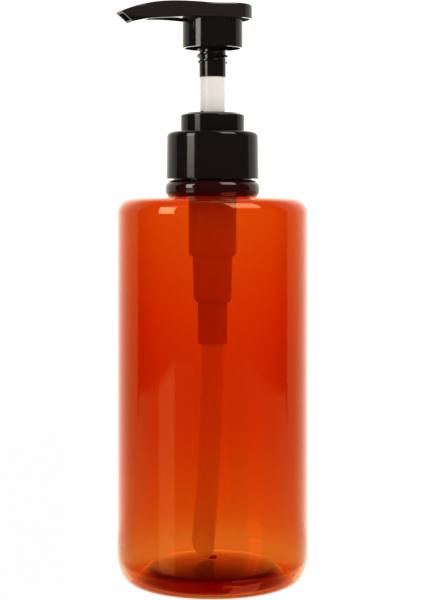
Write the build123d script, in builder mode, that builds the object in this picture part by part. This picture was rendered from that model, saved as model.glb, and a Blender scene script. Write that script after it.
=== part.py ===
from build123d import *
import math
import os

# Pump oil bottle: clear cylindrical bottle with a lock-down hand pump.
# Origin: centre of the resting plane. +Z runs up the pump axis, the spout points to -X. Millimetres.

# ---- bottle body ----
body_radius = 34.35
body_wall = 0.8
shoulder_height = 137.5
shoulder_corner = 5.5
heel_width = 5.0
heel_height = 10.5
foot_width = 0.8
punt_radius = 22.2
punt_height = 4.2
dome_height = 7.0
gate_radius = 1.5
gate_height = 0.7

# ---- bottle neck, 28 mm finish ----
neck_base_radius = 16.2
bead_bottom = 138.6
bead_top = 144.0
bead_radius = 17.1
bead_edge = 2.9
seam_height = 140.2
seam_width = 0.3
seam_depth = 0.07
neck_land_radius = 14.2
neck_land_top = 145.8
neck_root_radius = 12.6
neck_bore = 10.9
neck_rim = 158.2
thread_lead = 4.23
neck_thread_height = 1.05
neck_thread_bottom = 149.2
neck_thread_turns = 1.5

# ---- closure ----
closure_bottom = 144.35
closure_top = 161.4
closure_bottom_radius = 16.75
closure_top_radius = 16.5
closure_edge = 1.9
closure_roof = 1.1
closure_mouth_radius = 14.5
closure_root_radius = 14.1
closure_thread_height = 1.1
closure_thread_turns = 1.25
closure_hole = 9.55
thread_offset = 1.45

# ---- pump housing ----
flange_radius = 13.4
flange_height = 1.25
flange_gap = 0.05
gasket_thickness = 0.8
barrel_radius = 9.2
barrel_top = 165.6
cylinder_radius = 8.65
cylinder_bore = 7.4
cylinder_bottom = 116.5
cylinder_floor = 117.8
spring_well_top_radius = 7.2
spring_well_bottom_radius = 6.8
spring_well_bore = 5.7
spring_well_bottom = 99.9
well_floor = 101.2
socket_radius = 5.3
socket_bottom = 84.9
socket_depth = 10.6
inlet_hole = 1.6
seat_mouth = 3.2
vent_hole = 0.6
vent_height = 153.0

# ---- locking collar ----
collar_radius = 11.55
collar_bottom = 161.55
collar_top = 168.6
collar_slope_width = 1.6
collar_slope_drop = 0.4
collar_edge_drop = 1.2
collar_edge = 0.5
guide_tube_radius = 6.9
guide_bottom = 155.0
guide_lip_top = 157.5
lock_root_radius = 5.9
lock_bore = 5.1
lock_groove_depth = 5.8
lock_groove_turns = 1.1

# ---- plunger ----
stem_radius = 4.5
stem_shoulder = 181.2
stem_bottom = 142.0
stem_top = 199.0
stem_neck_radius = 3.4
stem_bore = 2.0
plug_shaft_radius = 2.6
plug_shaft_top = 150.5
plug_seat_radius = 5.4
plug_seat_top = 139.4
plug_seat_thickness = 1.4
plug_spigot_radius = 3.3
plug_spigot_bottom = 134.5
plug_bore = 1.5
side_hole = 0.9
valve_travel = 1.2
piston_height = 10.6
piston_waist = 6.1
piston_lip = 1.5

# ---- valve parts and spring ----
ball_radius = 2.5
cage_top = 106.5
cage_roof = 1.2
cage_pocket = 3.3
spring_wire = 0.45
spring_radius = 4.25
spring_turns = 10

# ---- dip tube ----
tube_radius = 4.2
tube_bore = 3.4
tube_bow_radius = 740.0
tube_bow_azimuth = 160.0
tube_end_height = 8.0
tube_cut_tilt = 50.0
tube_cut_azimuth = -82.0

# ---- actuator head ----
skirt_radius = 10.9
skirt_wall = 0.9
skirt_bottom = 191.6
sleeve_radius = 4.8
sleeve_bottom = 181.2
head_half_width = 11.4
head_rear = 14.6
spout_half_width = 3.65
spout_reach = 36.2
rim_wall = 1.0
underside_recess = 0.7
duct_half_width = 2.7
lock_thread_lead = 4.94
lock_thread_height = 0.8
lock_thread_bottom = 186.0
lock_thread_turns = 2.0
lock_starts = 2
head_edge = 0.8

running_gap = 0.05
press = 0.02

# Side view of the head: (x, z) along the crown of its top and along its lower edge.
head_top_line = [(15.0, 207.4), (5.0, 207.2), (-4.0, 206.95), (-11.0, 207.45), (-17.0, 207.7)]
head_top_line += [(-23.0, 207.2), (-28.0, 206.1), (-35.4, 203.4)]
head_low_line = [(15.0, 202.3), (-12.0, 201.9), (-21.0, 201.5), (-25.0, 201.15), (-28.0, 200.6)]
head_low_line += [(-31.1, 199.8)]
# Plan of one side of the head: (x, half width) from the rear arc to the spout.
head_side_line = [(-5.0, 11.0), (-11.0, 8.9), (-17.0, 5.7), (-23.0, 4.0), (-spout_reach, spout_half_width)]

rear_x = head_rear - head_half_width
plate_root = 203.0
recess_end = -27.0
# Side view of the flow duct, from above the stem bore out through the end of the spout.
duct_top_line = [(3.0, 205.6), (-4.0, 205.6), (-11.0, 206.1), (-17.0, 206.4), (-23.0, 206.0)]
duct_top_line += [(-28.0, 204.9), (-36.2, 202.1)]
duct_low_line = [(3.0, 203.6), (-11.0, 203.5), (-21.0, 203.0), (-25.0, 202.6), (-31.5, 200.5), (-33.7, 199.5)]

os.makedirs("parts", exist_ok=True)


def finish_piece(piece, name):
    """Label a piece and write it as its own STEP file."""
    piece.label = name
    export_step(piece, f"parts/{name}.step")


def thread_ridge(radius, height, lead, bottom, turns, root_half, crest_half, bite):
    """A helical ridge: grows outward from radius, or inward when height is negative."""
    side = math.copysign(1, height)
    with BuildPart() as ridge:
        with BuildLine() as path:
            Helix(pitch=lead, height=lead * turns, radius=radius, center=(0, 0, bottom))
        start = Plane(origin=path.line @ 0, x_dir=(1, 0, 0), z_dir=path.line % 0)
        with BuildSketch(start):
            with BuildLine():
                Polyline(
                    (-side * bite, -root_half),
                    (0, -root_half),
                    (height, -crest_half),
                    (height, crest_half),
                    (0, root_half),
                    (-side * bite, root_half),
                    close=True,
                )
            make_face()
        sweep(path=path.line, is_frenet=True)
    return ridge.part


# ---- bottle: one blown shell with its neck ----
neck_thread = thread_ridge(
    neck_root_radius, neck_thread_height, thread_lead, neck_thread_bottom, neck_thread_turns, 1.15, 0.5, 0.4
)
wall_x = body_radius - body_wall
foot_x = body_radius - heel_width
corner_x = body_radius - shoulder_corner
corner_z = shoulder_height - shoulder_corner
gate_z = dome_height + body_wall + gate_height
inner_dome_z = dome_height + body_wall
dome_curve = (punt_radius**2 + (dome_height - punt_height) ** 2) / (2 * (dome_height - punt_height))
dome_angle = math.degrees(math.asin(punt_radius / dome_curve))
seam_top = seam_height + seam_width
seam_radius = bead_radius + seam_depth
neck_lip = 0.4
rim_x = punt_radius + 2.6
wall_foot = heel_height + 1.0
throat_x = 15.6
throat_z = shoulder_height - 1.1
bead_low_x = bead_radius - 0.7
bead_low_round = 2.2
with BuildPart() as bottle:
    with BuildSketch(Plane.XZ):
        with BuildLine():
            # outside, from the neck rim down to the resting ring
            Line((neck_bore, neck_rim), (neck_root_radius, neck_rim))
            Line((neck_root_radius, neck_rim), (neck_root_radius, neck_land_top + 0.6))
            Line((neck_root_radius, neck_land_top + 0.6), (neck_land_radius, neck_land_top))
            Line((neck_land_radius, neck_land_top), (neck_land_radius, bead_top))
            Line((neck_land_radius, bead_top), (bead_radius - bead_edge, bead_top))
            CenterArc((bead_radius - bead_edge, bead_top - bead_edge), bead_edge, 0, 90)
            # the mould seam stands a little proud of the bead, with the bead's lower round under it
            Line((bead_radius, bead_top - bead_edge), (bead_radius, seam_top))
            Line((bead_radius, seam_top), (seam_radius, seam_top))
            Line((seam_radius, seam_top), (seam_radius, seam_height))
            Line((seam_radius, seam_height), (bead_radius, seam_height))
            RadiusArc((bead_radius, seam_height), (bead_low_x, bead_bottom), bead_low_round)
            Line((bead_low_x, bead_bottom), (neck_base_radius, bead_bottom - neck_lip))
            Line((neck_base_radius, bead_bottom - neck_lip), (neck_base_radius, shoulder_height))
            Line((neck_base_radius, shoulder_height), (corner_x, shoulder_height))
            CenterArc((corner_x, corner_z), shoulder_corner, 0, 90)
            Line((body_radius, corner_z), (body_radius, heel_height))
            EllipticalCenterArc((foot_x, heel_height), heel_width, heel_height, start_angle=270, arc_size=90)
            Line((foot_x, 0), (foot_x - foot_width, 0))
            Spline(
                (foot_x - foot_width, 0),
                (rim_x, punt_height * 0.62),
                (punt_radius, punt_height),
                tangents=((-1, 0.1), (-0.85, 0.4)),
            )
            CenterArc((0, dome_height - dome_curve), dome_curve, 90 - dome_angle, dome_angle)
            Line((0, dome_height), (0, gate_z))
            # inside, from the gate nub back up to the rim
            Line((0, gate_z), (gate_radius, gate_z - 0.2))
            Line((gate_radius, gate_z - 0.2), (gate_radius, inner_dome_z - 0.1))
            RadiusArc(
                (gate_radius, inner_dome_z - 0.1),
                (punt_radius, punt_height + body_wall),
                dome_curve + body_wall,
            )
            Spline(
                (punt_radius, punt_height + body_wall),
                (foot_x - 0.4, body_wall + 0.4),
                (wall_x - 1.0, heel_height * 0.5 + 0.6),
                (wall_x, wall_foot),
                tangents=((0.85, -0.5), (0, 1)),
            )
            Line((wall_x, wall_foot), (wall_x, corner_z))
            CenterArc((corner_x, corner_z), shoulder_corner - body_wall, 0, 90)
            Line((corner_x, shoulder_height - body_wall), (throat_x, throat_z))
            Spline(
                (throat_x, throat_z),
                (12.6, shoulder_height + 2.2),
                (neck_bore, bead_top + 1.5),
                tangents=((-1, 0.1), (-0.05, 1)),
            )
            Line((neck_bore, bead_top + 1.5), (neck_bore, neck_rim))
        make_face()
    revolve(axis=Axis.Z)
    add(neck_thread)
finish_piece(bottle.part, "bottle")

# ---- closure: screw cap that turns freely under the collar ----
closure_thread = thread_ridge(
    closure_root_radius,
    -closure_thread_height,
    thread_lead,
    neck_thread_bottom - thread_offset,
    closure_thread_turns,
    1.1,
    0.45,
    0.4,
)
closure_ceiling = closure_top - closure_roof
with BuildPart() as closure:
    with BuildSketch(Plane.XZ):
        with BuildLine():
            Polyline(
                (closure_hole, closure_top),
                (closure_top_radius, closure_top),
                (closure_bottom_radius, closure_bottom),
                (closure_mouth_radius, closure_bottom),
                (closure_mouth_radius, neck_land_top + 1.2),
                (closure_root_radius, neck_land_top + 1.7),
                (closure_root_radius, closure_ceiling),
                (closure_hole, closure_ceiling),
                close=True,
            )
        make_face()
    revolve(axis=Axis.Z)
    outer_edges = closure.edges().filter_by(GeomType.CIRCLE).sort_by(SortBy.RADIUS)
    fillet(outer_edges.filter_by_position(Axis.Z, closure_top - 0.01, closure_top + 0.01)[-1], closure_edge)
    bottom_edges = closure.edges().filter_by(GeomType.CIRCLE).sort_by(SortBy.RADIUS)
    fillet(bottom_edges[-1], 0.3)
    add(closure_thread)
finish_piece(closure.part, "closure")

# ---- pump housing: flange, cylinder, spring well and tube socket ----
flange_top = closure_ceiling - flange_gap
flange_bottom = flange_top - flange_height
socket_top = socket_bottom + socket_depth
with BuildPart() as pump_housing:
    with BuildSketch(Plane.XZ):
        with BuildLine():
            Polyline(
                (cylinder_bore, barrel_top),
                (barrel_radius, barrel_top),
                (barrel_radius, flange_top),
                (flange_radius, flange_top),
                (flange_radius, flange_bottom),
                (cylinder_radius, flange_bottom),
                (cylinder_radius, cylinder_bottom + 1.0),
                (cylinder_radius - 0.8, cylinder_bottom),
                (spring_well_top_radius, cylinder_bottom),
                (spring_well_bottom_radius, spring_well_bottom + 1.0),
                (spring_well_bottom_radius - 0.8, spring_well_bottom),
                (socket_radius, spring_well_bottom),
                (socket_radius, socket_bottom),
                (tube_radius - press, socket_bottom),
                (tube_radius - press, socket_top),
                (inlet_hole, socket_top),
                (inlet_hole, well_floor - (seat_mouth - inlet_hole)),
                (seat_mouth, well_floor),
                (spring_well_bore, well_floor),
                (spring_well_bore + 0.3, cylinder_floor - 0.6),
                (cylinder_bore, cylinder_floor),
                close=True,
            )
        make_face()
    revolve(axis=Axis.Z)
    with BuildSketch(Plane.XZ.offset(-cylinder_radius - 1)):
        with Locations((0, vent_height)):
            Circle(vent_hole)
    extrude(amount=cylinder_radius, mode=Mode.SUBTRACT)
finish_piece(pump_housing.part, "pump_housing")

# ---- neck gasket: flat ring between flange and rim ----
with BuildPart() as neck_gasket:
    with BuildSketch(Plane.XY.offset(flange_bottom - gasket_thickness)):
        Circle(flange_radius)
        Circle(neck_bore, mode=Mode.SUBTRACT)
    extrude(amount=gasket_thickness)
finish_piece(neck_gasket.part, "neck_gasket")

# ---- locking collar: outer cap, guide tube for the stem, female lock thread ----
collar_side_top = collar_top - collar_edge_drop
with BuildPart() as locking_collar:
    with BuildSketch(Plane.XZ):
        with BuildLine():
            Polyline(
                (lock_root_radius, collar_top),
                (collar_radius - collar_slope_width, collar_top - collar_slope_drop),
                (collar_radius, collar_side_top),
                (collar_radius, collar_bottom),
                (barrel_radius - press, collar_bottom),
                (barrel_radius - press, barrel_top),
                (guide_tube_radius, barrel_top),
                (guide_tube_radius, guide_bottom),
                (stem_radius + running_gap, guide_bottom),
                (stem_radius + running_gap, guide_lip_top),
                (lock_root_radius, guide_lip_top + 1.2),
                close=True,
            )
        make_face()
    revolve(axis=Axis.Z)
    collar_edges = locking_collar.edges().filter_by(GeomType.CIRCLE)
    side_edges = collar_edges.filter_by_position(Axis.Z, collar_side_top - 0.01, collar_side_top + 0.01)
    fillet(side_edges.sort_by(SortBy.RADIUS)[-1], collar_edge)
    for start_angle in range(0, 360, 360 // lock_starts):
        lock_groove_ridge = thread_ridge(
            lock_root_radius,
            lock_bore - lock_root_radius,
            lock_thread_lead,
            collar_top - lock_groove_depth,
            lock_groove_turns,
            0.55,
            0.25,
            0.3,
        )
        add(lock_groove_ridge.rotate(Axis.Z, start_angle))
finish_piece(locking_collar.part, "locking_collar")

# ---- stem: hollow rod, necked at the top for the head's sleeve ----
with BuildPart() as stem:
    with BuildSketch(Plane.XZ):
        with BuildLine():
            Polyline(
                (stem_bore, stem_top),
                (stem_neck_radius, stem_top),
                (stem_neck_radius, stem_shoulder),
                (stem_radius, stem_shoulder),
                (stem_radius, stem_bottom),
                (plug_shaft_radius - press, stem_bottom),
                (plug_shaft_radius - press, plug_shaft_top),
                (stem_bore, plug_shaft_top + 0.6),
                close=True,
            )
        make_face()
    revolve(axis=Axis.Z)
finish_piece(stem.part, "stem")

# ---- stem plug: piston seat with a shaft pressed into the stem ----
seat_bottom = plug_seat_top - plug_seat_thickness
with BuildPart() as stem_plug:
    with BuildSketch(Plane.XZ):
        with BuildLine():
            Polyline(
                (plug_bore, plug_shaft_top),
                (plug_shaft_radius, plug_shaft_top),
                (plug_shaft_radius, plug_seat_top),
                (plug_seat_radius - 0.5, plug_seat_top),
                (plug_seat_radius, plug_seat_top - 0.5),
                (plug_seat_radius, seat_bottom),
                (plug_spigot_radius, seat_bottom),
                (plug_spigot_radius, plug_spigot_bottom + 0.6),
                (plug_spigot_radius - 0.6, plug_spigot_bottom),
                (0, plug_spigot_bottom),
                (0, plug_seat_top + 0.2),
                (plug_bore, plug_seat_top + 0.2),
                close=True,
            )
        make_face()
    revolve(axis=Axis.Z)
    with BuildSketch(Plane.XZ.offset(-plug_shaft_radius - 1)):
        with Locations((0, plug_seat_top + 1.3)):
            Circle(side_hole)
    extrude(amount=2 * plug_shaft_radius + 2, mode=Mode.SUBTRACT)
finish_piece(stem_plug.part, "stem_plug")

# ---- piston: double-lipped ring that slides in the cylinder and a little on the stem ----
piston_bottom = plug_seat_top + 0.02
piston_top = piston_bottom + piston_height
piston_ledge = stem_bottom - valve_travel - 0.02
piston_radius = cylinder_bore - running_gap
with BuildPart() as piston:
    with BuildSketch(Plane.XZ):
        with BuildLine():
            Polyline(
                (stem_radius + running_gap, piston_top),
                (piston_waist, piston_top),
                (piston_radius, piston_top),
                (piston_radius, piston_top - piston_lip),
                (piston_waist, piston_top - piston_lip - 0.9),
                (piston_waist, piston_bottom + piston_lip + 0.9),
                (piston_radius, piston_bottom + piston_lip),
                (piston_radius, piston_bottom),
                (plug_shaft_radius + 0.7, piston_bottom),
                (plug_shaft_radius + 0.7, piston_ledge),
                (stem_radius + running_gap, piston_ledge),
                close=True,
            )
        make_face()
    revolve(axis=Axis.Z)
finish_piece(piston.part, "piston")

# ---- valve cage: cup over the ball, with flow holes; the spring stands on it ----
with BuildPart() as valve_cage:
    with BuildSketch(Plane.XY.offset(well_floor)):
        Circle(spring_well_bore + press)
        Circle(cage_pocket, mode=Mode.SUBTRACT)
    extrude(amount=cage_top - cage_roof - well_floor)
    with BuildSketch(Plane.XY.offset(cage_top - cage_roof)):
        Circle(spring_well_bore + press)
        with PolarLocations(2.3, 4):
            Circle(0.8, mode=Mode.SUBTRACT)
    extrude(amount=cage_roof)
finish_piece(valve_cage.part, "valve_cage")

# ---- inlet ball on its cone seat ----
seat_apex = well_floor - seat_mouth
ball_centre = seat_apex + ball_radius * math.sqrt(2) + 0.02
with BuildPart() as inlet_ball:
    with BuildSketch(Plane.XZ):
        with BuildLine():
            CenterArc((0, ball_centre), ball_radius, -90, 180)
            Line((0, ball_centre - ball_radius), (0, ball_centre + ball_radius))
        make_face()
    revolve(axis=Axis.Z)
finish_piece(inlet_ball.part, "inlet_ball")

# ---- return spring between cage and plug seat ----
spring_bottom = cage_top + spring_wire + running_gap
spring_length = seat_bottom - spring_wire - running_gap - spring_bottom
with BuildPart() as return_spring:
    with BuildLine() as coil:
        Helix(
            pitch=spring_length / spring_turns,
            height=spring_length,
            radius=spring_radius,
            center=(0, 0, spring_bottom),
        )
    with BuildSketch(Plane(origin=coil.line @ 0, x_dir=(1, 0, 0), z_dir=coil.line % 0)):
        Circle(spring_wire)
    sweep(path=coil.line, is_frenet=True)
finish_piece(return_spring.part, "return_spring")

# ---- dip tube: straight in the socket, then bowed, cut off slanting above the dome ----
tube_top = socket_top - 0.2
bow_direction = Vector(1, 0, 0).rotate(Axis.Z, tube_bow_azimuth)
bow_normal = bow_direction.cross(Vector(0, 0, 1))
bow_plane = Plane(origin=(0, 0, socket_bottom), x_dir=bow_direction, z_dir=bow_normal)
bow_angle = math.degrees(math.asin((socket_bottom - tube_end_height) / tube_bow_radius))
with BuildPart() as dip_tube:
    with BuildLine() as tube_path:
        Line((0, 0, tube_top), (0, 0, socket_bottom))
        with BuildLine(bow_plane):
            CenterArc((tube_bow_radius, 0), tube_bow_radius, 180, bow_angle)
    with BuildSketch(Plane(origin=(0, 0, tube_top), z_dir=(0, 0, -1))):
        Circle(tube_radius)
        Circle(tube_bore, mode=Mode.SUBTRACT)
    sweep(path=tube_path.wires()[0])
    tube_foot = tube_path.line @ 1
    cut_normal = Vector(math.sin(math.radians(tube_cut_tilt)), 0, math.cos(math.radians(tube_cut_tilt)))
    cut_plane = Plane(
        origin=tube_foot + Vector(0, 0, tube_radius * math.tan(math.radians(tube_cut_tilt))),
        z_dir=cut_normal.rotate(Axis.Z, tube_cut_azimuth),
    )
    split(bisect_by=cut_plane, keep=Keep.TOP)
finish_piece(dip_tube.part, "dip_tube")

# ---- actuator head: plate and spout arm, skirt, sleeve with lock thread, flow duct ----
def side_slab(top_line, low_line, half_width):
    """A slab between two side-view lines that both run from the rear to the spout."""
    with BuildPart() as slab:
        with BuildSketch(Plane.XZ.offset(-half_width)):
            with BuildLine():
                top_edge = Spline(*top_line)
                low_edge = Spline(*low_line)
                Line(top_edge @ 0, low_edge @ 0)
                Line(top_edge @ 1, low_edge @ 1)
            make_face()
        extrude(amount=2 * half_width)
    return slab.part


def plan_prism(inset):
    """An upright prism with the head's plan, drawn inward by inset."""
    side_points = [(x, y - inset) for x, y in head_side_line]
    with BuildPart() as prism:
        with BuildSketch(Plane.XY.offset(sleeve_bottom)):
            with BuildLine():
                rear_point = (rear_x, head_half_width - inset)
                far_side = Spline(rear_point, *side_points, tangents=((-1, 0), (-1, -0.02)))
                near_side = mirror(far_side, about=Plane.XZ)
                Line(near_side @ 1, far_side @ 1)
                CenterArc((rear_x, 0), head_half_width - inset, -90, 180)
            make_face()
        extrude(amount=40)
    return prism.part


recess_top_line = [(x, z + underside_recess) for x, z in head_low_line if x > recess_end]
recess_low_line = [(x, z - 2) for x, z in head_low_line if x > recess_end]
with BuildPart() as recess:
    add(side_slab(recess_top_line, recess_low_line, head_rear))
    add(plan_prism(rim_wall), mode=Mode.INTERSECT)
duct = side_slab(duct_top_line, duct_low_line, duct_half_width)
with BuildPart() as actuator_head:
    add(side_slab(head_top_line, head_low_line, head_rear))
    add(plan_prism(0), mode=Mode.INTERSECT)
    top_rim = actuator_head.faces().sort_by(Axis.Z)[-1].edges()
    fillet(top_rim.filter_by(lambda e: (e @ 0.5).X > -spout_reach + 1), head_edge)
    add(recess.part, mode=Mode.SUBTRACT)
    with BuildSketch(Plane.XY.offset(skirt_bottom)):
        Circle(skirt_radius)
        Circle(skirt_radius - skirt_wall, mode=Mode.SUBTRACT)
    extrude(amount=plate_root - skirt_bottom)
    with BuildSketch(Plane.XY.offset(sleeve_bottom)):
        Circle(sleeve_radius)
    extrude(amount=plate_root - sleeve_bottom)
    for start_angle in range(0, 360, 360 // lock_starts):
        lock_ridge = thread_ridge(
            sleeve_radius,
            lock_thread_height,
            lock_thread_lead,
            lock_thread_bottom + 0.6,
            lock_thread_turns,
            0.6,
            0.25,
            0.3,
        )
        add(lock_ridge.rotate(Axis.Z, start_angle))
    add(duct, mode=Mode.SUBTRACT)
    with BuildSketch(Plane.XY.offset(sleeve_bottom)):
        Circle(stem_neck_radius - press)
    extrude(amount=stem_top - sleeve_bottom, mode=Mode.SUBTRACT)
    with BuildSketch(Plane.XY.offset(stem_top)):
        Circle(stem_bore)
    extrude(amount=duct_low_line[0][1] + 0.3 - stem_top, mode=Mode.SUBTRACT)
finish_piece(actuator_head.part, "actuator_head")
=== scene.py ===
import math

import bpy
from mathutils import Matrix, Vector


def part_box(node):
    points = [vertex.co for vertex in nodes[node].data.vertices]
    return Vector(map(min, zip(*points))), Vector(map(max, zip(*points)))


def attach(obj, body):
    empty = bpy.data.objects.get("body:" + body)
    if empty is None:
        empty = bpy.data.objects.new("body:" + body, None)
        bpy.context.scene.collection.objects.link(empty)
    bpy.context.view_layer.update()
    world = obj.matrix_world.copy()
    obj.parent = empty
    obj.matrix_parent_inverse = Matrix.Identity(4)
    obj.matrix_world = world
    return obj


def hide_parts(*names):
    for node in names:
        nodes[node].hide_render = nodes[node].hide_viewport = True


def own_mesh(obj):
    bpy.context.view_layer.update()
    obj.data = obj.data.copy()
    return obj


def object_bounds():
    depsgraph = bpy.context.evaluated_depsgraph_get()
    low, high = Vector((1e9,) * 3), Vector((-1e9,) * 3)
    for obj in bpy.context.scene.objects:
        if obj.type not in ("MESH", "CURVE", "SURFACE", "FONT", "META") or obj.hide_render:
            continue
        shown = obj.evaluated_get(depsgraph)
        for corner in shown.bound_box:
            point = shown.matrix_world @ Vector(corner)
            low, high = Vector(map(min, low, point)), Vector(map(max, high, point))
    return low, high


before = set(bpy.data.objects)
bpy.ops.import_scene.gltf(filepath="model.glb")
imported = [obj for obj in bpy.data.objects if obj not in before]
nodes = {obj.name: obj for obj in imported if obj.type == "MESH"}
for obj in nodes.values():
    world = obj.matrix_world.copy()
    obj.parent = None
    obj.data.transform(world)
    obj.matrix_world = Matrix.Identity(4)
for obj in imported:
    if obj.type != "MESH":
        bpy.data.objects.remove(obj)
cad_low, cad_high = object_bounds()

MM = 0.001

# ---- heights in metres: the shoulder's top, and the level from which the head's black is painted a little lighter, as painted light on its top ----
NECK_HEIGHT = 20.7 * MM
HEAD_TOP_DEPTH = 6.1 * MM
shoulder_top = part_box("bottle")[1].z - NECK_HEIGHT
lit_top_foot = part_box("actuator_head")[1].z - HEAD_TOP_DEPTH

# ---- return spring: wire as in the CAD helix, with closed coils at both ends ----
SPRING_WIRE = 0.45 * MM
SPRING_CLOSED_TURNS = 1.6
SPRING_OPEN_TURNS = 8.4
CLOSED_PITCH = 2.1 * SPRING_WIRE
RINGS_PER_TURN = 36
WIRE_SIDES = 12

# ---- camera: level, 20 degrees round from the side view, with the horizon just under the shoulder's top ----
CAMERA_AZIMUTH = math.radians(-20)
CAMERA_DISTANCE = 543 * MM
CAMERA_HEIGHT = 136.4 * MM
LENS = 90.0
SENSOR = 36.0
HORIZON_SHIFT = -0.165
SIDE_SHIFT = -0.0009
CLIP_START = 10 * MM
CLEAR_BOUNCES = 24

# ---- colours, linear ----
WHITE = (1.0, 1.0, 1.0, 1.0)
AMBER_WALL = (0.80, 0.165, 0.015)
AMBER_SHEEN = (1.0, 0.82, 0.26, 1.0)
BASE_SHEEN = (0.62, 0.13, 0.05, 1.0)
# Painted shade: the dark colour mixed over the neck in place of the shade inside it.
NECK_SHADE_COLOUR = (0.024, 0.0045, 0.004, 1.0)
BLACK = (0.0075, 0.0062, 0.0058, 1.0)
# Painted light: a lighter copy of the head's black, for its top.
BLACK_HEAD_LIT_TOP = (0.0175, 0.0128, 0.0118, 1.0)
STEM_WHITE = (0.78, 0.72, 0.65, 1.0)
NATURAL = (0.86, 0.55, 0.45, 1.0)
TUBE = (0.97, 0.95, 0.86, 1.0)
FOAM = (0.7, 0.7, 0.66, 1.0)
STEEL = (0.62, 0.62, 0.63, 1.0)
FLOOR = (0.8, 0.8, 0.8, 1.0)

# ---- surfaces: noise scales in cycles per metre ----
NOISE_SPAN = (0.3, 0.7)
PLASTIC_SPREAD = (0.8, 1.3)
STEEL_SPREAD = (0.7, 1.4)
BLACK_ROUGHNESS = 0.08
MOTTLE_SCALE = 90.0
MOTTLE_DARK = 0.94
MOTTLE_LIGHT = 1.04
GLOSS_SCALE = 260.0
GRAIN_SCALE = 2600.0
GRAIN_DEPTH = 0.2 * MM
PLASTIC_IOR = 1.5
MILKY_SCALE = 140.0
MILKY_DARK = 0.9
MILKY_ROUGHNESS = 0.35
MILKY_SCATTER = 0.4
STEEL_SCALE = 1200.0
# Painted light: the fade up to the head's lighter top, in mm above where it starts.
HEAD_LIT_TOP_FADE = (0.0, 0.7, 0.0, 1.0)
TUBE_FOOT = (5, 40)

# ---- amber wall ----
PET_IOR = 1.57
PET_ROUGHNESS = 0.03
RIPPLE_SCALE = 18.0
RIPPLE_STRENGTH = 0.08
RIPPLE_DEPTH = 0.4 * MM
FACES_PER_WALL = 2
# Fades of the tint's strength: from and to in mm of height or of radius, then the values there.
LOWER_WALL = (0, 70, 0.63, 1.02)
HEEL = (3, 20, 0.55, 1.0)
UPPER_WALL = (80, 140, 1.0, 0.73)
OVER_BASE = (8, 11, 1.0, 0.0)
DOME = (22.5, 25.0, 18.0, 4.5)
DOME_END = (25.5, 33.5, 1.0, 0.0)
DOME_RIM = (18.0, 21.5, 0.0, 6.0)
DOME_RIM_END = (22.2, 24.0, 1.0, 0.0)
# Fades of the tint and of the sheen in mm above the shoulder's top, how strong the neck's tint is, and how
# much painted shade is mixed into the neck.
NECK_START = (0.2, 1.7, 0.0, 1.0)
NECK_STRENGTH = 16.0
NECK_SHADE_SHARE = 0.8
SHOULDER_SHEEN = (-6.0, -4.0, 1.0, 0.55)
NECK_SHEEN = (0.2, 1.0, 1.0, 0.0)
# Fades by the cosine between the wall's normal and the line of sight.
EDGE_DARKENING = (0.0, 0.22, 3.5, 1.0)
BASE_SEEN_STEEPLY = (0.35, 0.75, 1.0, 0.3)
SLANT_START = (0.15, 0.4, 0.0, 1.0)
SLANT_END = (0.6, 0.8, 1.0, 0.0)
SLANT_BOOST = 0.55
SHEEN_TINT = (0.15, 0.6, 0.0, 1.0)

# ---- studio, as the glossy surfaces see it ----
ROOM_GLOW = 0.01
BACKDROP_GLOW = 1.2
BACKDROP_SLOPE = 0.7
SLOPE_LIMIT = 0.1
PANEL_COLOUR = (1.0, 0.95, 0.87, 1.0)
PANEL_GLOW = 0.4
PANEL_CENTRE_GLOW = 1.6
PANEL_BEHIND = 70 * MM
PANEL_SIDE = 100
PANEL_EDGE = 2.5
PANEL_FALLOFF = 1.7
PANEL_TOP_FADE = (20, 55, 1.0, 0.3)
TABLE_COLOUR = (1.0, 0.93, 0.82, 1.0)
TABLE_HALF_WIDTH = 523 * MM
TABLE_FRONT = 600 * MM
TABLE_GLOW = 0.42
TABLE_BEHIND_GLOW = 1.0
LEFT_BOX_GLOW = 6.0
LEFT_BOX_LOW_GLOW = 0.75
RIGHT_BOX_GLOW = 4.0
MIRRORED_RIGHT_GLOW = 3.4
MIRRORED_LEFT_GLOW = 0.5
# Corners in order round each softbox: degrees round the object from the camera, degrees above level.
LEFT_BOX = [(-65, 0), (-46, 0), (-53, 45), (-77, 40)]
RIGHT_BOX = [(30, 44), (68, 36), (94, 62), (45, 80)]
# The left softbox brightens in two steps above level: degrees from and to, then the glow there.
LEFT_BOX_LOW_STEP = (2.3, 3.0, LEFT_BOX_LOW_GLOW, LEFT_BOX_GLOW / 2)
LEFT_BOX_HIGH_STEP = (3.6, 5.5, 0.0, LEFT_BOX_GLOW / 2)
# The left softbox as the table mirrors it: degrees round from and to, degrees above level from and to.
MIRRORED_LEFT_BOX = (-67, -46, -24, 0)
SOFT_EDGE = 1.5
SHARP_EDGE = 0.006
TINY = 0.01

# ---- floor, its fades in mm from the pump axis ----
FLOOR_HALF = 3.0
FLOOR_GAP = 0.02 * MM
FLOOR_NEAR_GLOW = 1.06
FLOOR_FADE = (300, 1300, FLOOR_NEAR_GLOW, BACKDROP_GLOW)
FOOT_SHADE = (23, 32, 0.0, 1.0)


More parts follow.
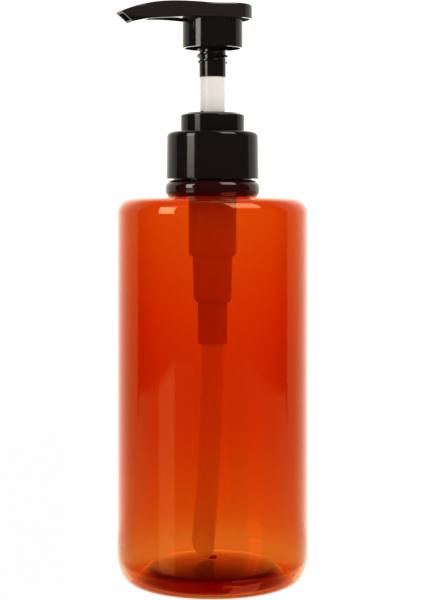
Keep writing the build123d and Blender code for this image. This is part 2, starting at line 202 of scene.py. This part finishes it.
class Graph:
    """A material or world node tree with short calls to add and join nodes."""

    def __init__(self, tree):
        self.tree = tree
        tree.nodes.clear()

    def add(self, kind, inputs=None, **settings):
        """Add a node; inputs maps a socket name or index to a value or to another socket."""
        node = self.tree.nodes.new(kind)
        for key, value in settings.items():
            setattr(node, key, value)
        for key, value in (inputs or {}).items():
            if isinstance(value, bpy.types.NodeSocket):
                self.tree.links.new(value, node.inputs[key])
            else:
                node.inputs[key].default_value = value
        return node

    def math(self, operation, first, second=0.0):
        """One arithmetic step on two numbers or sockets."""
        return self.add("ShaderNodeMath", {0: first, 1: second}, operation=operation).outputs[0]

    def chain(self, operation, first, *others):
        """The same arithmetic step over a run of numbers or sockets."""
        for other in others:
            first = self.math(operation, first, other)
        return first

    def product(self, *factors):
        """All the factors multiplied together."""
        return self.chain("MULTIPLY", *factors)

    def total(self, *terms):
        """All the terms added together."""
        return self.chain("ADD", *terms)

    def dot(self, first, second):
        """Dot product of two directions."""
        node = self.add("ShaderNodeVectorMath", {0: first, 1: second}, operation="DOT_PRODUCT")
        return node.outputs["Value"]

    def place(self, space="Object"):
        """The shaded point, or in a world the direction looked in."""
        return self.add("ShaderNodeTexCoord").outputs[space]

    def split(self, vector):
        """The three numbers of a vector."""
        return self.add("ShaderNodeSeparateXYZ", {0: vector}).outputs

    def mix_shader(self, share, first, second):
        """Blend two shaders by a share."""
        return self.add("ShaderNodeMixShader", {0: share, 1: first, 2: second}).outputs[0]

    def mix_colour(self, share, first, second):
        """Blend two colours by a share; the node's colour sockets are 6 and 7, and 2 on the way out."""
        return self.add("ShaderNodeMix", {0: share, 6: first, 7: second}, data_type="RGBA").outputs[2]

    def noise(self, scale, detail=3.0):
        """Noise in object space, scale in cycles per metre."""
        inputs = {"Vector": self.place(), "Scale": scale, "Detail": detail, "Roughness": 0.5}
        return self.add("ShaderNodeTexNoise", inputs).outputs["Fac"]

    def ramp(self, value, low, high, out_low, out_high):
        """Map a range of values smoothly to another range."""
        inputs = {0: value, 1: low, 2: high, 3: out_low, 4: out_high}
        return self.add("ShaderNodeMapRange", inputs, interpolation_type="SMOOTHSTEP").outputs[0]

    def ramp_mm(self, value, low, high, out_low, out_high, origin=0.0):
        """A ramp over a length in metres, its ends given in millimetres from the origin."""
        return self.ramp(value, origin + low * MM, origin + high * MM, out_low, out_high)

    def ramp_degrees(self, value, low, high, out_low, out_high):
        """A ramp over an angle in radians, its ends given in degrees."""
        return self.ramp(value, math.radians(low), math.radians(high), out_low, out_high)

    def bump(self, strength, depth, height):
        """A normal disturbed by a height pattern, depth in metres."""
        inputs = {"Strength": strength, "Distance": depth, "Height": height}
        return self.add("ShaderNodeBump", inputs).outputs[0]

    def output(self, shader, kind="ShaderNodeOutputMaterial"):
        """Close the tree with its output node."""
        self.add(kind, {0: shader})


def new_material(name):
    """An empty node material and its graph."""
    material = bpy.data.materials.new(name)
    material.use_nodes = True
    return material, Graph(material.node_tree)


def height_of(g):
    """Height above the resting plane, in metres."""
    return g.split(g.place())[2]


def radius_of(g):
    """Distance from the pump axis, in metres."""
    x, y, _ = g.split(g.place())
    return g.math("SQRT", g.total(g.product(x, x), g.product(y, y)))


def base_strength(g, cosine, over_base):
    """How much stronger the tint is in the base: its dome, the foot round it and the rim between them."""
    radius = radius_of(g)
    dome = g.product(g.ramp_mm(radius, *DOME), g.ramp_mm(radius, *DOME_END))
    rim = g.product(g.ramp_mm(radius, *DOME_RIM), g.ramp_mm(radius, *DOME_RIM_END))
    base = g.product(g.total(dome, rim), g.ramp(cosine, *BASE_SEEN_STEEPLY))
    return g.total(1.0, g.product(over_base, base))


def amber_light(g, cosine, height, over_base):
    """What comes through one face of the wall: less at a slant, in the base and in the thick neck, where a
    dark diffuse is mixed in as painted shade.
    """
    sine_squared = g.math("SUBTRACT", 1.0, g.product(cosine, cosine))
    inner_cosine = g.math("SQRT", g.math("SUBTRACT", 1.0, g.math("DIVIDE", sine_squared, PET_IOR**2)))
    neck = g.ramp_mm(height, *NECK_START, origin=shoulder_top)
    strength = g.product(
        g.ramp_mm(height, *LOWER_WALL),
        g.ramp_mm(height, *HEEL),
        g.ramp_mm(height, *UPPER_WALL),
        g.total(1.0, g.product(neck, NECK_STRENGTH)),
        base_strength(g, cosine, over_base),
        g.ramp(cosine, *EDGE_DARKENING),
    )
    path = g.product(g.math("DIVIDE", strength, inner_cosine), 1 / FACES_PER_WALL)
    passed = {index: g.math("POWER", channel, path) for index, channel in enumerate(AMBER_WALL)}
    tint = g.add("ShaderNodeCombineColor", passed).outputs[0]
    clear = g.add("ShaderNodeBsdfTransparent", {0: tint}).outputs[0]
    # Painted shade: a dark diffuse over the neck stands in for the shade inside the thick neck; it is mixed
    # with the clear wall.
    depth = g.add("ShaderNodeBsdfDiffuse", {"Color": NECK_SHADE_COLOUR}).outputs[0]
    return g.mix_shader(g.product(neck, NECK_SHADE_SHARE), clear, depth)


def amber_reflection(g, cosine):
    """Share of light one face reflects: Schlick's form of Fresnel's law, raised at middling slants."""
    head_on = ((PET_IOR - 1) / (PET_IOR + 1)) ** 2
    grazing = g.math("POWER", g.math("SUBTRACT", 1.0, cosine), 5.0)
    reflected = g.total(head_on, g.product(grazing, 1 - head_on))
    slanted = g.product(g.ramp(cosine, *SLANT_START), g.ramp(cosine, *SLANT_END))
    return g.product(reflected, g.total(1.0, g.product(slanted, SLANT_BOOST)))


def amber_sheen(g, cosine, height, over_base):
    """Colour of the reflection: amber where the wall faces the viewer, white at its edges and on the neck."""
    tinted = g.product(
        g.ramp(cosine, *SHEEN_TINT),
        g.ramp_mm(height, *SHOULDER_SHEEN, origin=shoulder_top),
        g.ramp_mm(height, *NECK_SHEEN, origin=shoulder_top),
    )
    return g.mix_colour(tinted, WHITE, g.mix_colour(over_base, AMBER_SHEEN, BASE_SHEEN))


def amber_pet():
    """Thin tinted clear wall: it lets light straight through and mirrors the studio."""
    material, g = new_material("amber_pet")
    facing = g.add("ShaderNodeNewGeometry").outputs
    cosine = g.math("ABSOLUTE", g.dot(facing["Normal"], facing["Incoming"]))
    height = height_of(g)
    over_base = g.ramp_mm(height, *OVER_BASE)
    gloss_inputs = {
        "Color": amber_sheen(g, cosine, height, over_base),
        "Roughness": PET_ROUGHNESS,
        "Normal": g.bump(RIPPLE_STRENGTH, RIPPLE_DEPTH, g.noise(RIPPLE_SCALE, 2.0)),
    }
    gloss = g.add("ShaderNodeBsdfGlossy", gloss_inputs).outputs[0]
    g.output(g.mix_shader(amber_reflection(g, cosine), amber_light(g, cosine, height, over_base), gloss))
    return material


def shaded(colour, factor):
    """A colour made darker or lighter, each channel at most 1."""
    return tuple(min(1.0, channel * factor) for channel in colour[:3]) + (1.0,)


def uneven_roughness(g, noise, roughness, spread):
    """Roughness that wanders with a noise between two multiples of its given value."""
    return g.ramp(noise, *NOISE_SPAN, roughness * spread[0], roughness * spread[1])


def moulded_plastic(name, colour, roughness, grain=0.02, lit_top_colour=None):
    """Opaque moulded plastic with faint flow mottling, fine grain and uneven gloss, and a lighter top as
    painted light if a lit top colour is given.
    """
    material, g = new_material(name)
    base = g.mix_colour(g.noise(MOTTLE_SCALE, 4.0), shaded(colour, MOTTLE_DARK), shaded(colour, MOTTLE_LIGHT))
    if lit_top_colour:
        # Painted light: the part's top fades to a lighter copy of its colour.
        base = g.mix_colour(g.ramp_mm(height_of(g), *HEAD_LIT_TOP_FADE, origin=lit_top_foot), base, lit_top_colour)
    inputs = {
        "Base Color": base,
        "Roughness": uneven_roughness(g, g.noise(GLOSS_SCALE, 5.0), roughness, PLASTIC_SPREAD),
        "IOR": PLASTIC_IOR,
        "Normal": g.bump(grain, GRAIN_DEPTH, g.noise(GRAIN_SCALE, 2.0)),
    }
    g.output(g.add("ShaderNodeBsdfPrincipled", inputs).outputs[0])
    return material


def natural_plastic(name, colour, clear_share, foot_share=None):
    """Unpigmented plastic, part milky and part clear, with its own clear share at the foot if given."""
    material, g = new_material(name)
    base = g.mix_colour(g.noise(MILKY_SCALE), shaded(colour, MILKY_DARK), colour)
    body_inputs = {"Base Color": base, "Roughness": MILKY_ROUGHNESS}
    body = g.add("ShaderNodeBsdfPrincipled", body_inputs).outputs[0]
    glow = g.add("ShaderNodeBsdfTranslucent", {"Color": base}).outputs[0]
    clear = g.add("ShaderNodeBsdfTransparent", {0: colour}).outputs[0]
    if foot_share:
        clear_share = g.ramp_mm(height_of(g), *TUBE_FOOT, foot_share, clear_share)
    g.output(g.mix_shader(clear_share, g.mix_shader(MILKY_SCATTER, body, glow), clear))
    return material


def steel(name, roughness):
    """Drawn or polished stainless steel."""
    material, g = new_material(name)
    gloss = uneven_roughness(g, g.noise(STEEL_SCALE, 4.0), roughness, STEEL_SPREAD)
    inputs = {"Base Color": STEEL, "Metallic": 1.0, "Roughness": gloss}
    g.output(g.add("ShaderNodeBsdfPrincipled", inputs).outputs[0])
    return material


def dress(material, *node_names):
    """Give carried-over CAD nodes their material."""
    for node_name in node_names:
        mesh = nodes[node_name].data
        mesh.materials.clear()
        mesh.materials.append(material)


def dress_nodes():
    """Materials of every CAD node that is shown."""
    black_head = moulded_plastic("black_head_plastic", BLACK, BLACK_ROUGHNESS, lit_top_colour=BLACK_HEAD_LIT_TOP)
    natural = natural_plastic("natural_plastic", NATURAL, clear_share=0.12)
    dress(amber_pet(), "bottle")
    dress(moulded_plastic("black_plastic", BLACK, BLACK_ROUGHNESS), "closure", "locking_collar")
    dress(black_head, "actuator_head")
    dress(moulded_plastic("white_plastic", STEM_WHITE, roughness=0.3), "stem")
    dress(natural, "pump_housing", "valve_cage", "piston", "stem_plug")
    dress(natural_plastic("tube_plastic", TUBE, clear_share=0.68, foot_share=0.52), "dip_tube")
    dress(moulded_plastic("gasket_foam", FOAM, roughness=0.8, grain=0.3), "neck_gasket")
    dress(steel("ball_steel", roughness=0.06), "inlet_ball")


def spring_rings(low, high, count):
    """Points on the wire's skin, a ring of them at each of the steps up the spring."""
    mean_radius = (high.x - low.x) / 2 - SPRING_WIRE
    closed_rise = SPRING_CLOSED_TURNS * CLOSED_PITCH
    open_rise = high.z - low.z - 2 * (SPRING_WIRE + closed_rise)
    turns = 2 * SPRING_CLOSED_TURNS + SPRING_OPEN_TURNS
    points = []
    for ring in range(count + 1):
        turn = turns * ring / count
        foot_share = min(turn, SPRING_CLOSED_TURNS) / SPRING_CLOSED_TURNS
        open_share = min(max(turn - SPRING_CLOSED_TURNS, 0.0), SPRING_OPEN_TURNS) / SPRING_OPEN_TURNS
        head_share = max(turn - SPRING_CLOSED_TURNS - SPRING_OPEN_TURNS, 0.0) / SPRING_CLOSED_TURNS
        level = low.z + SPRING_WIRE + (foot_share + head_share) * closed_rise + open_share * open_rise
        around = 2 * math.pi * turn
        for side in range(WIRE_SIDES):
            lean = 2 * math.pi * side / WIRE_SIDES
            reach = mean_radius + SPRING_WIRE * math.cos(lean)
            height = level + SPRING_WIRE * math.sin(lean)
            points.append((reach * math.cos(around), reach * math.sin(around), height))
    return points


def closed_spring():
    """Coil spring with closed end coils, one fixed mesh carried with the pump core."""
    low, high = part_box("return_spring")
    count = round((2 * SPRING_CLOSED_TURNS + SPRING_OPEN_TURNS) * RINGS_PER_TURN)
    last = count * WIRE_SIDES
    faces = [tuple(reversed(range(WIRE_SIDES))), tuple(range(last, last + WIRE_SIDES))]
    for start in range(0, last, WIRE_SIDES):
        for side in range(WIRE_SIDES):
            here = start + side
            after = start + (side + 1) % WIRE_SIDES
            faces.append((here, after, after + WIRE_SIDES, here + WIRE_SIDES))
    mesh = bpy.data.meshes.new("closed_spring")
    mesh.from_pydata(spring_rings(low, high, count), [], faces)
    mesh.materials.append(steel("spring_steel", roughness=0.28))
    for face in mesh.polygons:
        face.use_smooth = len(face.vertices) == 4
    spring = bpy.data.objects.new("closed_spring", mesh)
    bpy.context.scene.collection.objects.link(spring)
    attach(spring, "pump_core")
    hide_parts("return_spring")
    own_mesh(spring)


def side_slope(g):
    """The backdrop is a little brighter towards the right of the picture."""
    across, _, ahead = g.split(g.place("Camera"))
    slope = g.math("DIVIDE", across, g.math("MAXIMUM", ahead, TINY))
    slope = g.math("MAXIMUM", g.math("MINIMUM", slope, SLOPE_LIMIT), -SLOPE_LIMIT)
    return g.total(1.0, g.product(slope, BACKDROP_SLOPE))


def band(g, value, low, high):
    """1 between two angles given in degrees, 0 outside them, with soft ends."""
    rise = g.ramp_degrees(value, low - SOFT_EDGE, low + SOFT_EDGE, 0.0, 1.0)
    fall = g.ramp_degrees(value, high - SOFT_EDGE, high + SOFT_EDGE, 1.0, 0.0)
    return g.product(rise, fall)


def towards(turn, rise):
    """Direction so many degrees round the object from the camera and so many above level."""
    turn = math.radians(turn)
    rise = math.radians(rise)
    return Vector((math.sin(turn) * math.cos(rise), math.sin(rise), -math.cos(turn) * math.cos(rise)))


def softbox(g, direction, corners):
    """1 inside a flat softbox, given by the directions of its corners, and 0 outside it."""
    rays = [towards(turn, rise) for turn, rise in corners]
    middle = sum(rays, Vector((0, 0, 0)))
    share = 1.0
    for first, second in zip(rays, rays[1:] + rays[:1]):
        inward = first.cross(second).normalized()
        if inward.dot(middle) < 0:
            inward = -inward
        share = g.product(share, g.ramp(g.dot(direction, inward), -SHARP_EDGE, SHARP_EDGE, 0.0, 1.0))
    return share


def table_share(g, azimuth, level):
    """1 in directions below the far edge of the table, which the panel behind cuts short, and 0 above."""
    sine = g.math("ABSOLUTE", g.math("SINE", azimuth))
    cosine = g.math("COSINE", azimuth)
    to_side = g.math("DIVIDE", TABLE_HALF_WIDTH, g.math("MAXIMUM", sine, TINY))
    to_front = g.math("DIVIDE", TABLE_FRONT, g.math("MAXIMUM", cosine, TINY))
    to_panel = g.math("DIVIDE", PANEL_BEHIND, g.math("MAXIMUM", g.product(cosine, -1.0), TINY))
    reach = g.chain("MINIMUM", to_side, to_front, to_panel)
    drop = g.math("ARCTANGENT", g.math("DIVIDE", CAMERA_HEIGHT, g.total(reach, CAMERA_DISTANCE)))
    return g.ramp(g.total(level, drop), -SHARP_EDGE, SHARP_EDGE, 1.0, 0.0)


def studio_lights(g, direction, azimuth, level, side, centre, on_table):
    """Glow of the room, the panel behind the object, the softboxes and their reflections in the table."""
    shown = g.ramp_degrees(side, PANEL_SIDE, PANEL_SIDE + PANEL_EDGE, 0.0, 1.0)
    glow = g.total(PANEL_GLOW, g.product(centre, PANEL_CENTRE_GLOW))
    top_fade = g.ramp_degrees(level, *PANEL_TOP_FADE)
    left_glow = g.total(g.ramp_degrees(level, *LEFT_BOX_LOW_STEP), g.ramp_degrees(level, *LEFT_BOX_HIGH_STEP))
    turn_low, turn_high, level_low, level_high = MIRRORED_LEFT_BOX
    mirrored_left = g.product(band(g, azimuth, turn_low, turn_high), band(g, level, level_low, level_high))
    mirrored_right = softbox(g, direction, [(turn, -rise) for turn, rise in RIGHT_BOX])
    return g.total(
        ROOM_GLOW,
        g.product(shown, glow, top_fade, g.math("SUBTRACT", 1.0, on_table)),
        g.product(softbox(g, direction, LEFT_BOX), left_glow),
        g.product(softbox(g, direction, RIGHT_BOX), RIGHT_BOX_GLOW),
        g.product(mirrored_right, MIRRORED_RIGHT_GLOW),
        g.product(on_table, mirrored_left, MIRRORED_LEFT_GLOW),
    )


def studio_world():
    """Bright panel behind, pale table below, two softboxes and a dark room, all turning with the camera."""
    world = bpy.data.worlds.new("studio")
    bpy.context.scene.world = world
    world.use_nodes = True
    g = Graph(world.node_tree)
    direction = g.place("Camera")
    across, up, ahead = g.split(direction)
    azimuth = g.math("ARCTAN2", across, g.product(ahead, -1.0))
    level = g.math("ARCSINE", up)
    side = g.math("ABSOLUTE", azimuth)
    on_table = table_share(g, azimuth, level)
    past_side = g.math("MAXIMUM", g.math("SUBTRACT", side, math.radians(PANEL_SIDE)), 0.0)
    inward = g.math("DIVIDE", past_side, math.radians(180 - PANEL_SIDE))
    centre = g.math("POWER", inward, PANEL_FALLOFF)
    lights = studio_lights(g, direction, azimuth, level, side, centre, on_table)
    sideways = g.math("MINIMUM", g.math("DIVIDE", side, math.radians(PANEL_SIDE)), 1.0)
    table_front = g.product(g.math("POWER", sideways, PANEL_FALLOFF), TABLE_GLOW)
    table_glow = g.product(on_table, g.total(table_front, g.product(centre, TABLE_BEHIND_GLOW)))
    above = g.add("ShaderNodeBackground", {0: PANEL_COLOUR, 1: lights}).outputs[0]
    table = g.add("ShaderNodeBackground", {0: TABLE_COLOUR, 1: table_glow}).outputs[0]
    studio = g.add("ShaderNodeAddShader", {0: above, 1: table}).outputs[0]
    plain = g.add("ShaderNodeBackground", {0: WHITE, 1: g.product(side_slope(g), BACKDROP_GLOW)}).outputs[0]
    mirrored = g.add("ShaderNodeLightPath").outputs["Is Glossy Ray"]
    g.output(g.mix_shader(mirrored, plain, studio), "ShaderNodeOutputWorld")
    world.cycles.sampling_method = "NONE"


def pale_floor():
    """A large plain white floor at the resting plane, which takes a soft shade under the foot."""
    material, g = new_material("pale_floor")
    radius = radius_of(g)
    glow = g.product(side_slope(g), g.ramp_mm(radius, *FLOOR_FADE))
    glowing = g.add("ShaderNodeEmission", {0: WHITE, 1: glow}).outputs[0]
    under_foot = g.add("ShaderNodeBsdfDiffuse", {"Color": FLOOR}).outputs[0]
    g.output(g.mix_shader(g.ramp_mm(radius, *FOOT_SHADE), under_foot, glowing))
    corners = [(x * FLOOR_HALF, y * FLOOR_HALF, 0) for x, y in ((-1, -1), (1, -1), (1, 1), (-1, 1))]
    mesh = bpy.data.meshes.new("floor")
    mesh.from_pydata(corners, [], [(0, 1, 2, 3)])
    mesh.materials.append(material)
    floor = bpy.data.objects.new("floor", mesh)
    bpy.context.scene.collection.objects.link(floor)
    floor.location.z = cad_low.z - FLOOR_GAP
    floor.visible_glossy = False


def level_camera():
    """Camera at the viewing angle, level, with the frame shifted down."""
    data = bpy.data.cameras.new("camera")
    data.sensor_width = SENSOR
    data.lens = LENS
    data.shift_x = SIDE_SHIFT
    data.shift_y = HORIZON_SHIFT
    data.clip_start = CLIP_START
    camera = bpy.data.objects.new("camera", data)
    bpy.context.scene.collection.objects.link(camera)
    x = CAMERA_DISTANCE * math.sin(CAMERA_AZIMUTH)
    y = -CAMERA_DISTANCE * math.cos(CAMERA_AZIMUTH)
    camera.location = (x, y, CAMERA_HEIGHT)
    camera.rotation_euler = (math.pi / 2, 0, CAMERA_AZIMUTH)
    bpy.context.scene.camera = camera


dress_nodes()
closed_spring()
studio_world()
pale_floor()
level_camera()
bpy.context.scene.view_settings.view_transform = "Standard"
bpy.context.scene.cycles.transparent_max_bounces = CLEAR_BOUNCES
